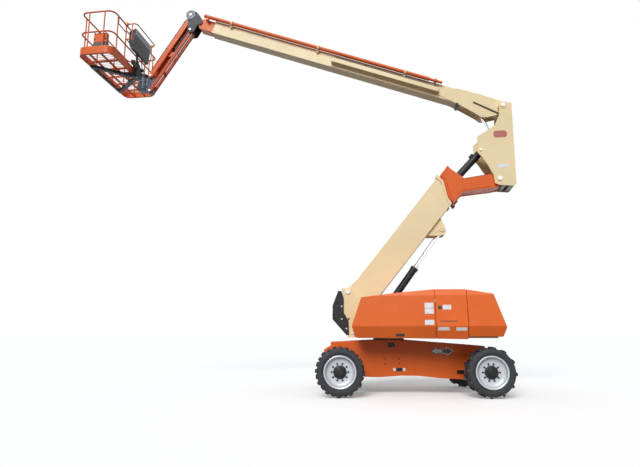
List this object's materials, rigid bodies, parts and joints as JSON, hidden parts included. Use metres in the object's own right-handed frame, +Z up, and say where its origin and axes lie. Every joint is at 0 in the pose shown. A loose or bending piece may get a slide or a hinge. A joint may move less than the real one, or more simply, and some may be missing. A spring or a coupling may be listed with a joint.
{
  "type": "articulating boom lift",
  "caption": "Self-propelled boom lift: wheeled chassis, slewing turntable, telescoping tower boom, upright, telescoping main boom, jib and work platform.",
  "frame": {"origin": "on the ground under the slew axis", "axes": "+X along the chassis from the drive axle to the steer axle, +Y across the machine towards its far side, +Z up"},
  "size_m": [10.5636, 3.4192, 9.7931],
  "materials": {
    "orange_paint": "gloss paint",
    "orange_cover": "gloss moulded cover",
    "dark_orange_paint": "gloss paint",
    "beige_paint": "satin paint",
    "black_paint": "satin paint",
    "grey_paint": "satin paint",
    "polished_rod": "polished",
    "rim_paint": "satin silver paint",
    "tyre": "moulded rubber",
    "dark_plastic": "textured"
  },
  "bodies": {
    "chassis": {"chassis_frame": "orange_paint", "axle_drive": "black_paint", "axle_steer": "black_paint", "slew_ring": "black_paint"},
    "wheel_drive_near": {"tyre_drive_near": "tyre", "rim_drive_near": "rim_paint"},
    "wheel_drive_far": {"tyre_drive_far": "tyre", "rim_drive_far": "rim_paint"},
    "wheel_steer_near": {"tyre_steer_near": "tyre", "rim_steer_near": "rim_paint"},
    "wheel_steer_far": {"tyre_steer_far": "tyre", "rim_steer_far": "rim_paint"},
    "knuckle_near": {"knuckle_near": "black_paint"},
    "knuckle_far": {"knuckle_far": "black_paint"},
    "tie_rod": {"tie_rod": "grey_paint"},
    "turntable": {"turntable_frame": "beige_paint", "tower_guard": "black_paint", "counterweight": "orange_paint", "engine_block": "grey_paint"},
    "hood_front_near": {"hood_front_near": "orange_cover"},
    "hood_front_far": {"hood_front_far": "orange_cover"},
    "hood_mid_near": {"hood_mid_near": "orange_cover"},
    "hood_mid_far": {"hood_mid_far": "orange_cover"},
    "tower_base": {"tower_base": "beige_paint"},
    "tower_fly": {"tower_fly": "orange_paint"},
    "upright": {"upright": "beige_paint"},
    "tower_lift_barrel": {"tower_lift_barrel": "black_paint"},
    "tower_lift_rod": {"tower_lift_rod": "polished_rod"},
    "level_barrel": {"level_barrel": "black_paint"},
    "level_rod": {"level_rod": "polished_rod"},
    "main_lift_barrel": {"main_lift_barrel": "black_paint"},
    "main_lift_rod": {"main_lift_rod": "polished_rod"},
    "main_base": {"main_base": "beige_paint", "hose_trough": "beige_paint"},
    "main_fly": {"main_fly": "orange_paint", "push_tube": "orange_paint"},
    "jib_head": {"jib_head": "grey_paint"},
    "jib_upper": {"jib_upper": "orange_paint"},
    "jib_lower": {"jib_lower": "dark_orange_paint"},
    "jib_barrel": {"jib_barrel": "black_paint"},
    "jib_rod": {"jib_rod": "polished_rod"},
    "platform_support": {"platform_support": "grey_paint"},
    "platform": {"platform_floor": "orange_paint", "platform_arms": "black_paint", "platform_toe_board": "orange_paint", "platform_rails": "orange_paint", "control_box": "dark_plastic"}
  },
  "joints": [
    {"name": "steering", "type": "hinge", "parent": "chassis", "child": "knuckle_near", "pos_m": [1.93, -0.8, 0.51], "axis": [0, 0, 1], "range_deg": [-30, 30]},
    {"name": "steering_far", "type": "hinge", "parent": "chassis", "child": "knuckle_far", "pos_m": [1.93, 0.8, 0.51], "axis": [0, 0, 1], "range_deg": [-30, 30]},
    {"name": "tie_rod_joint", "type": "hinge", "parent": "knuckle_near", "child": "tie_rod", "pos_m": [2.2, -0.8, 0.51], "axis": [0, 0, 1], "range_deg": [-30, 30]},
    {"name": "wheel_drive_near_spin", "type": "hinge", "parent": "chassis", "child": "wheel_drive_near", "pos_m": [-1.12, -1.055, 0.51], "axis": [0, 1, 0], "continuous": true},
    {"name": "wheel_drive_far_spin", "type": "hinge", "parent": "chassis", "child": "wheel_drive_far", "pos_m": [-1.12, 1.055, 0.51], "axis": [0, 1, 0], "continuous": true},
    {"name": "wheel_steer_near_spin", "type": "hinge", "parent": "knuckle_near", "child": "wheel_steer_near", "pos_m": [1.93, -1.055, 0.51], "axis": [0, 1, 0], "continuous": true},
    {"name": "wheel_steer_far_spin", "type": "hinge", "parent": "knuckle_far", "child": "wheel_steer_far", "pos_m": [1.93, 1.055, 0.51], "axis": [0, 1, 0], "continuous": true},
    {"name": "slew", "type": "hinge", "parent": "chassis", "child": "turntable", "pos_m": [0, 0, 1.14], "axis": [0, 0, 1], "continuous": true},
    {"name": "hood_front_near_door", "type": "hinge", "parent": "turntable", "child": "hood_front_near", "pos_m": [0.15647, -0.42468, 2.06], "axis": [-0.9945, 0.1045, 0], "range_deg": [0, 60]},
    {"name": "hood_front_far_door", "type": "hinge", "parent": "turntable", "child": "hood_front_far", "pos_m": [0.24134, 0.38287, 2.06], "axis": [0.9945, -0.1045, 0], "range_deg": [0, 60]},
    {"name": "hood_mid_near_door", "type": "hinge", "parent": "turntable", "child": "hood_mid_near", "pos_m": [1.23751, -0.5383, 2.06], "axis": [-0.9945, 0.1045, 0], "range_deg": [0, 60]},
    {"name": "hood_mid_far_door", "type": "hinge", "parent": "turntable", "child": "hood_mid_far", "pos_m": [1.32239, 0.26925, 2.06], "axis": [0.9945, -0.1045, 0], "range_deg": [0, 60]},
    {"name": "tower_lift", "type": "hinge", "parent": "turntable", "child": "tower_base", "pos_m": [-0.88115, 0.09261, 2.219], "axis": [-0.1045, -0.9945, 0], "range_deg": [-51.2, 18.8]},
    {"name": "tower_extend", "type": "slide", "parent": "tower_base", "child": "tower_fly", "axis": [0.6232, -0.0655, 0.7793], "range_m": [0, 2.7]},
    {"name": "upright_level", "type": "hinge", "parent": "tower_fly", "child": "upright", "pos_m": [2.58675, -0.27188, 4.74939], "axis": [0.1045, 0.9945, 0], "range_deg": [-51.2, 18.8]},
    {"name": "tower_lift_barrel_pivot", "type": "hinge", "parent": "turntable", "child": "tower_lift_barrel", "pos_m": [-0.41173, 0.04327, 1.322], "axis": [-0.1045, -0.9945, 0], "range_deg": [-48, 18]},
    {"name": "tower_lift_rod_slide", "type": "slide", "parent": "tower_lift_barrel", "child": "tower_lift_rod", "axis": [0.5874, -0.0617, 0.8069], "range_m": [-0.85, 0.32]},
    {"name": "level_barrel_pivot", "type": "hinge", "parent": "upright", "child": "level_barrel", "pos_m": [2.20685, -0.23195, 5.45239], "axis": [-0.1045, -0.9945, 0], "range_deg": [-51, 19]},
    {"name": "level_rod_slide", "type": "slide", "parent": "level_barrel", "child": "level_rod", "axis": [-0.6809, 0.0716, -0.7289], "range_m": [-0.69, 0.26]},
    {"name": "main_lift", "type": "hinge", "parent": "upright", "child": "main_base", "pos_m": [2.75881, -0.28996, 6.52239], "axis": [0.1045, 0.9945, 0], "range_deg": [-21.2, 53]},
    {"name": "main_extend", "type": "slide", "parent": "main_base", "child": "main_fly", "axis": [-0.9272, 0.0975, 0.3616], "range_m": [0, 5.2]},
    {"name": "main_lift_barrel_pivot", "type": "hinge", "parent": "upright", "child": "main_lift_barrel", "pos_m": [2.7061, -0.28442, 5.30939], "axis": [0.1045, 0.9945, 0], "range_deg": [-3, 6]},
    {"name": "main_lift_rod_slide", "type": "slide", "parent": "main_lift_barrel", "child": "main_lift_rod", "axis": [-0.3316, 0.0349, 0.9428], "range_m": [-0.16, 0.4]},
    {"name": "head_level", "type": "hinge", "parent": "main_fly", "child": "jib_head", "pos_m": [-4.76092, 0.50039, 9.45517], "axis": [-0.1045, -0.9945, 0], "range_deg": [-21.2, 53]},
    {"name": "jib_lift", "type": "hinge", "parent": "jib_head", "child": "jib_upper", "pos_m": [-5.00587, 0.52614, 9.67906], "axis": [0.1045, 0.9945, 0], "range_deg": [0, 125]},
    {"name": "jib_lower_pivot", "type": "hinge", "parent": "jib_head", "child": "jib_lower", "pos_m": [-5.00587, 0.52614, 9.24906], "axis": [0.1045, 0.9945, 0], "range_deg": [0, 125]},
    {"name": "jib_barrel_pivot", "type": "hinge", "parent": "jib_head", "child": "jib_barrel", "pos_m": [-4.96609, 0.52196, 9.49906], "axis": [0.1045, 0.9945, 0], "range_deg": [0, 123]},
    {"name": "jib_rod_slide", "type": "slide", "parent": "jib_barrel", "child": "jib_rod", "axis": [-0.5429, 0.0571, -0.8378], "range_m": [0, 0.38]},
    {"name": "platform_level", "type": "hinge", "parent": "jib_upper", "child": "platform_support", "pos_m": [-6.06751, 0.63772, 8.03527], "axis": [-0.1045, -0.9945, 0], "range_deg": [0, 125]},
    {"name": "platform_rotate", "type": "hinge", "parent": "platform_support", "child": "platform", "pos_m": [-6.29526, 0.66166, 8.10127], "axis": [0, 0, 1], "range_deg": [-90, 90]}
  ],
  "couplings": [
    {"joint": "steering_far", "follows": "steering", "ratio": 1},
    {"joint": "tie_rod_joint", "follows": "steering", "ratio": -1},
    {"joint": "upright_level", "follows": "tower_lift", "ratio": 1},
    {"joint": "tower_lift_barrel_pivot", "follows": "tower_lift", "ratio": 0.933},
    {"joint": "tower_lift_rod_slide", "follows": "tower_lift", "m_per_rad": 0.93392},
    {"joint": "level_barrel_pivot", "follows": "tower_lift", "ratio": 0.9823},
    {"joint": "level_rod_slide", "follows": "tower_lift", "m_per_rad": 0.75734},
    {"joint": "main_lift_barrel_pivot", "follows": "main_lift", "ratio": 0.0917},
    {"joint": "main_lift_rod_slide", "follows": "main_lift", "m_per_rad": 0.41866},
    {"joint": "head_level", "follows": "main_lift", "ratio": 1},
    {"joint": "jib_lower_pivot", "follows": "jib_lift", "ratio": 1},
    {"joint": "jib_barrel_pivot", "follows": "jib_lift", "ratio": 0.9753},
    {"joint": "jib_rod_slide", "follows": "jib_lift", "m_per_rad": 0.17183},
    {"joint": "platform_level", "follows": "jib_lift", "ratio": 1}
  ]
}
